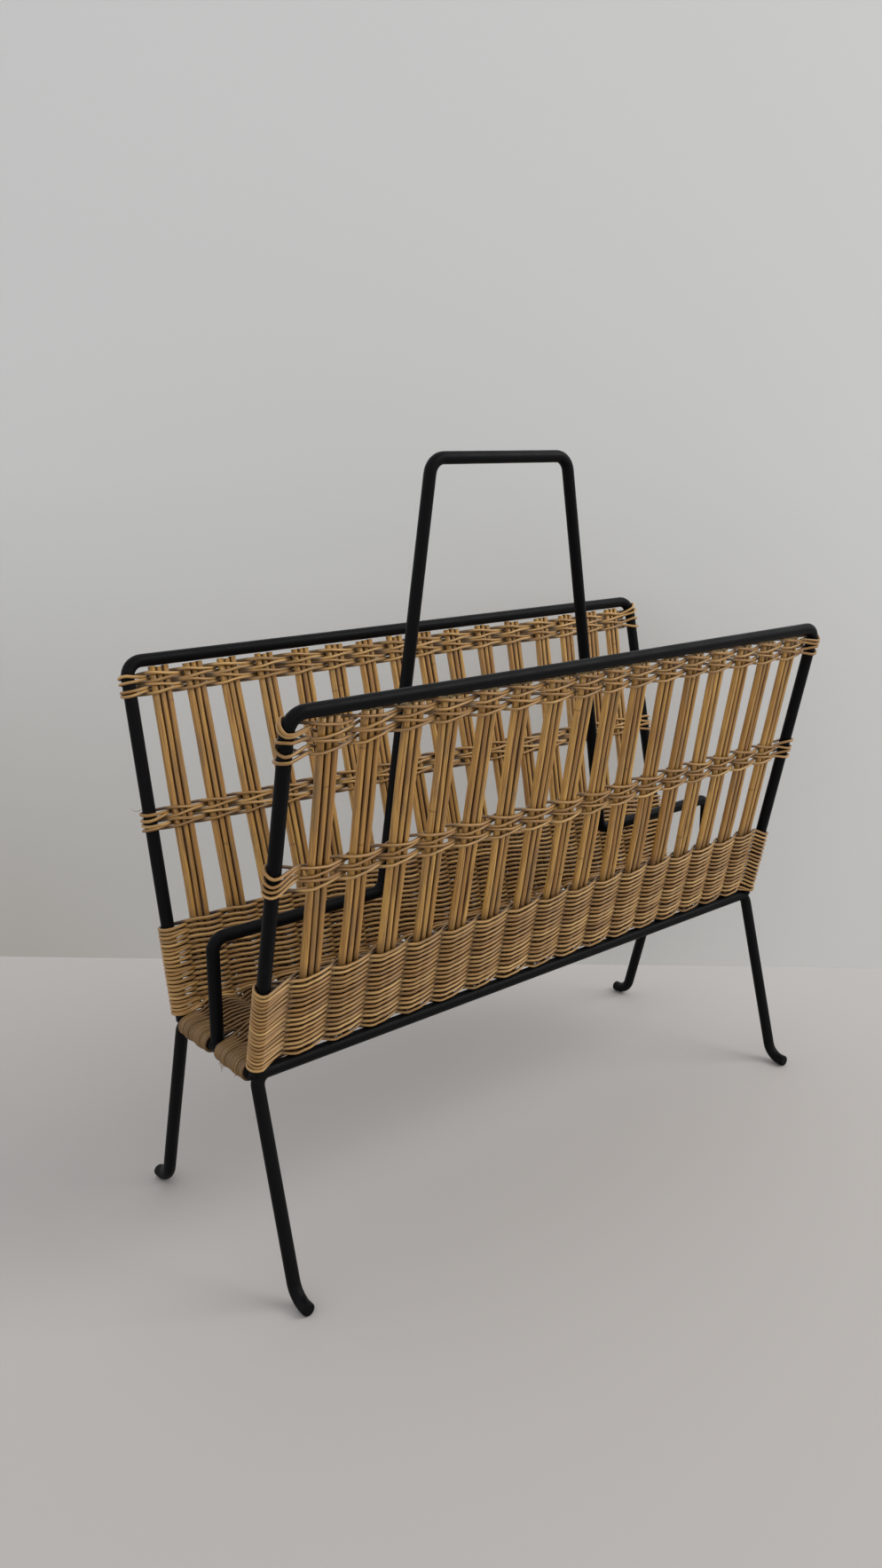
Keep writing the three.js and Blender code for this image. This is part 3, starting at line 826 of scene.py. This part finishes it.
def floor_path(y, rail_y, face, lift, rng):
    """A strand from a tail at one end, round the rail, over and under the stakes, and round the other rail.

    y and rail_y are its depths among the stakes and on the rails, and lift is how proud of the rail it lies.
    Along the path there is a fourth value, its thickness.
    """
    depth = REED_SPACING / 2 + FLOOR_STRAND + GAP
    reach = ROD_RADIUS + RAIL_STRAND + GAP + lift
    posts = [floor_post(index, y) for index in range(STAKES)]
    points = []
    for number, x in enumerate(posts):
        level = depth * face * (1 if number % 2 == 0 else -1)
        points.extend((x + shift, FLOOR_HEIGHT + level) for shift in (-SHOULDER, 0, SHOULDER))
        if number < STAKES - 1:
            points.append(((x + posts[number + 1]) / 2, FLOOR_HEIGHT))

    def tucked_end(end, first_post, first_face):
        tail = FLOOR_HEIGHT - depth - (0 if first_face > 0 else 2 * RAIL_STRAND + GAP)
        turned = [(first_post - end * TAIL_PAST_STAKE, tail), (first_post, tail),
                  (first_post + end * TAIL_BEFORE_STAKE, tail - TAIL_DROP)]
        for angle in RAIL_ANGLES:
            turned.append((end * (HALF_LENGTH - reach * np.cos(angle)), BASE_HEIGHT + reach * np.sin(angle)))
        rise = RAIL_LEAVING_RISE + RAIL_LEAVING_STEP * first_face
        turned.append((end * (HALF_LENGTH - RAIL_LEAVING), BASE_HEIGHT + reach + rise))
        return turned

    left = tucked_end(LEFT, posts[0], face)
    right = tucked_end(RIGHT, posts[-1], face * (1 if STAKES % 2 else -1))
    flat = np.array([*left, *points, *reversed(right)])
    inside = eased(HALF_LENGTH - np.abs(flat[:, 0]), 0, GATHERING_LENGTH)
    sway = rail_y + (y - rail_y) * inside + wander(rng, flat[:, 0], FLOOR_SWAY, FLOOR_SWAY_LENGTH)
    thickness = RAIL_STRAND + (FLOOR_STRAND - RAIL_STRAND) * inside
    heights = flat[:, 1] + rng.normal(0, FLOOR_SCATTER, len(flat))
    path = np.stack([flat[:, 0], sway, heights, thickness], -1)
    return smooth(path, closed=False, steps=FLOOR_CURVE_STEPS)


def floor_painted_shade(around):
    """Painted shade: skin is darker towards the strands beside it."""
    sideways = np.abs(around[..., 1])
    return FLOOR_LEAST_LIT + (1 - FLOOR_LEAST_LIT) * eased(sideways, *FLOOR_CREASE_SHADE)


def floor_weave():
    rng = np.random.default_rng(41)
    strands = Strands()
    for side in (FRONT, REAR):
        for number in range(FLOOR_STRANDS):
            share = number / (FLOOR_STRANDS - 1)
            y = FLOOR_FIRST + (FLOOR_LAST - FLOOR_FIRST) * share
            ribbon, place = divmod(number, RIBBON_STRANDS)
            squeeze = RIBBON_SQUEEZE * (RIBBON_STRANDS / 2 - 0.5 - place)
            rail_y = RAIL_FIRST + (RAIL_LAST - RAIL_FIRST) * share + squeeze
            lift = RIBBON_LIFTS[ribbon] + RIBBON_ROUGHNESS * np.sin(RIBBON_ROUGH_TURN * number)
            path = floor_path(side * y, side * rail_y, 1 if number % 2 == 0 else -1, lift, rng)
            strands.add(path[:, :3], path[:, 3], STRAND_SIDES, (0, 1, 0), rng=rng, painted_light=floor_painted_shade)
    piece = strands.make("floor_weave_ribbons", FLOOR_CANE)
    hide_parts("floor_weave")


floor_weave()


def loose_fibres():
    """Thin ends that have sprung out of the weave."""
    rng = np.random.default_rng(51)
    strands = Strands()
    for start, reach in FIBRES:
        start, reach = np.array(start, float), np.array(reach, float)
        bow = rng.normal(0, FIBRE_BOW, 3) * np.linalg.norm(reach)
        shares = np.linspace(-FIBRE_ROOT_SHARE, 1, FIBRE_STEPS)
        path = [start + reach * share + bow * np.sin(np.pi * share) for share in shares]
        radii = FIBRE_RADIUS * np.linspace(*FIBRE_TAPER, FIBRE_STEPS)
        strands.add(path, radii, FIBRE_SIDES, FIBRE_ACROSS, rng=rng)
    piece = strands.make("loose_fibres", FLOOR_CANE)


loose_fibres()


# Room: a pale floor and a pale wall behind, as in the photograph

# The wall's foot runs through these two places
WALL_LEFT = (-163.9, 509)
WALL_RIGHT = (420.4, -20.2)
WALL_REACH = 6000
WALL_HEIGHT = 4000
FLOOR_REACH = 20000


def pale_floor():
    """Smooth pale floor, matt and a little warm."""
    finish, tree = new_finish("pale_floor")
    finish_surface(tree, {"Base Color": srgb("#b2adaa"), "Roughness": 0.7, "Specular IOR Level": 0.2})
    return finish


def pale_wall():
    """Matt pale wall with painted shade: greyer in its lowest 450 mm, most of all at the left.

    From behind it is clear, so that it never hides the basket.
    """
    finish, tree = new_finish("pale_wall")
    place = add_node(tree, "SeparateXYZ", (), {0: add_node(tree, "TexCoord").outputs["Object"]})
    # Painted shade: darker low down and towards the left
    low = add_node(tree, "MapRange", (), {
        "Value": place.outputs["Z"], "From Min": 0, "From Max": 0.45, "To Min": 1, "To Max": 0})
    left = add_node(tree, "MapRange", (), {
        "Value": place.outputs["X"], "From Min": -0.15, "From Max": 0.06, "To Min": 1, "To Max": 0.35})
    shade = add_node(tree, "Math", {"operation": "MULTIPLY"}, {0: low.outputs[0], 1: left.outputs[0]})
    colour = add_node(tree, "Mix", MIXING, {0: shade.outputs[0], 6: srgb("#e2e3e2"), 7: srgb("#c2bfb9")})
    surface = add_node(tree, "BsdfPrincipled", (), {
        "Base Color": colour.outputs[2], "Roughness": 0.8, "Specular IOR Level": 0.2}).outputs[0]
    back = add_node(tree, "NewGeometry").outputs["Backfacing"]
    clear = add_node(tree, "BsdfTransparent").outputs[0]
    surface = add_node(tree, "MixShader", (), {0: back, 1: surface, 2: clear}).outputs[0]
    add_node(tree, "OutputMaterial", (), {"Surface": surface})
    return finish


def stage_plane(name, corners, finish):
    mesh = bpy.data.meshes.new(name)
    mesh.from_pydata([Vector(corner) * METRES for corner in corners], [], [(0, 1, 2, 3)])
    mesh.materials.append(finish)
    piece = bpy.data.objects.new(name, mesh)
    bpy.context.collection.objects.link(piece)
    return piece


far = FLOOR_REACH
stage_plane("floor", [(-far, -far, 0), (far, -far, 0), (far, far, 0), (-far, far, 0)], pale_floor())
wall_line = unit(np.array(WALL_RIGHT) - np.array(WALL_LEFT))
wall_start = np.array(WALL_LEFT) - wall_line * WALL_REACH
wall_end = np.array(WALL_RIGHT) + wall_line * WALL_REACH
wall = stage_plane(
    "wall", [(*wall_start, 0), (*wall_end, 0), (*wall_end, WALL_HEIGHT), (*wall_start, WALL_HEIGHT)],
    pale_wall())
# The wall is only seen: it neither shades nor lights the basket
wall.visible_shadow = False
wall.visible_diffuse = False
wall.visible_glossy = False
wall.visible_transmission = False


def soft_daylight():
    """Even light from all round, with a plain grey behind the room where the camera sees past it."""
    world = bpy.data.worlds.new("studio")
    bpy.context.scene.world = world
    world.use_nodes = True
    tree = world.node_tree
    tree.nodes.clear()
    path = add_node(tree, "LightPath")
    light = add_node(tree, "Background", (), {"Color": srgb("#f4f6f8"), "Strength": 0.95}).outputs[0]
    backdrop = add_node(tree, "Background", (), {"Color": srgb("#c2c3c3"), "Strength": 1}).outputs[0]
    shown = add_node(tree, "MixShader", (), {0: path.outputs["Is Camera Ray"], 1: light, 2: backdrop})
    add_node(tree, "OutputWorld", (), {"Surface": shown.outputs[0]})


def window_light():
    """A large soft lamp at the front right, 1.5 m wide, in metres and watts."""
    data = bpy.data.lights.new("window_light", "AREA")
    data.shape = "SQUARE"
    data.size = 1.5
    data.energy = 32
    data.color = srgb("#fffdf8")[:3]
    lamp = bpy.data.objects.new("window_light", data)
    lamp.location = (1.5, -1.4, 1.9)
    towards_basket = Vector((0, 0, 0.2)) - lamp.location
    lamp.rotation_euler = towards_basket.to_track_quat("-Z", "Y").to_euler()
    bpy.context.collection.objects.link(lamp)


soft_daylight()
window_light()

# Camera, fitted to the frame's straight rods in the photograph, in metres and radians
CAMERA_PLACE = (-0.539960, -0.609560, 0.483371)
CAMERA_YAW = 0.7159572
CAMERA_PITCH = -0.2498366
CAMERA_ROLL = 0.0054568
ahead = Vector((
    np.sin(CAMERA_YAW) * np.cos(CAMERA_PITCH),
    np.cos(CAMERA_YAW) * np.cos(CAMERA_PITCH),
    np.sin(CAMERA_PITCH)))
level = ahead.cross(Vector((0, 0, 1))).normalized()
upward = level.cross(ahead)
right = level * np.cos(CAMERA_ROLL) + upward * np.sin(CAMERA_ROLL)
top = upward * np.cos(CAMERA_ROLL) - level * np.sin(CAMERA_ROLL)
lens = bpy.data.cameras.new("camera")
lens.sensor_fit = "VERTICAL"
lens.sensor_height = 36
lens.lens = 28.729
lens.shift_x = -0.03067
lens.shift_y = -0.02305
lens.clip_start = 0.01
camera = bpy.data.objects.new("camera", lens)
turned = Matrix((right, top, -ahead)).transposed().to_4x4()
turned.translation = CAMERA_PLACE
camera.matrix_world = turned
bpy.context.collection.objects.link(camera)
bpy.context.scene.camera = camera
bpy.context.scene.view_settings.view_transform = "Standard"
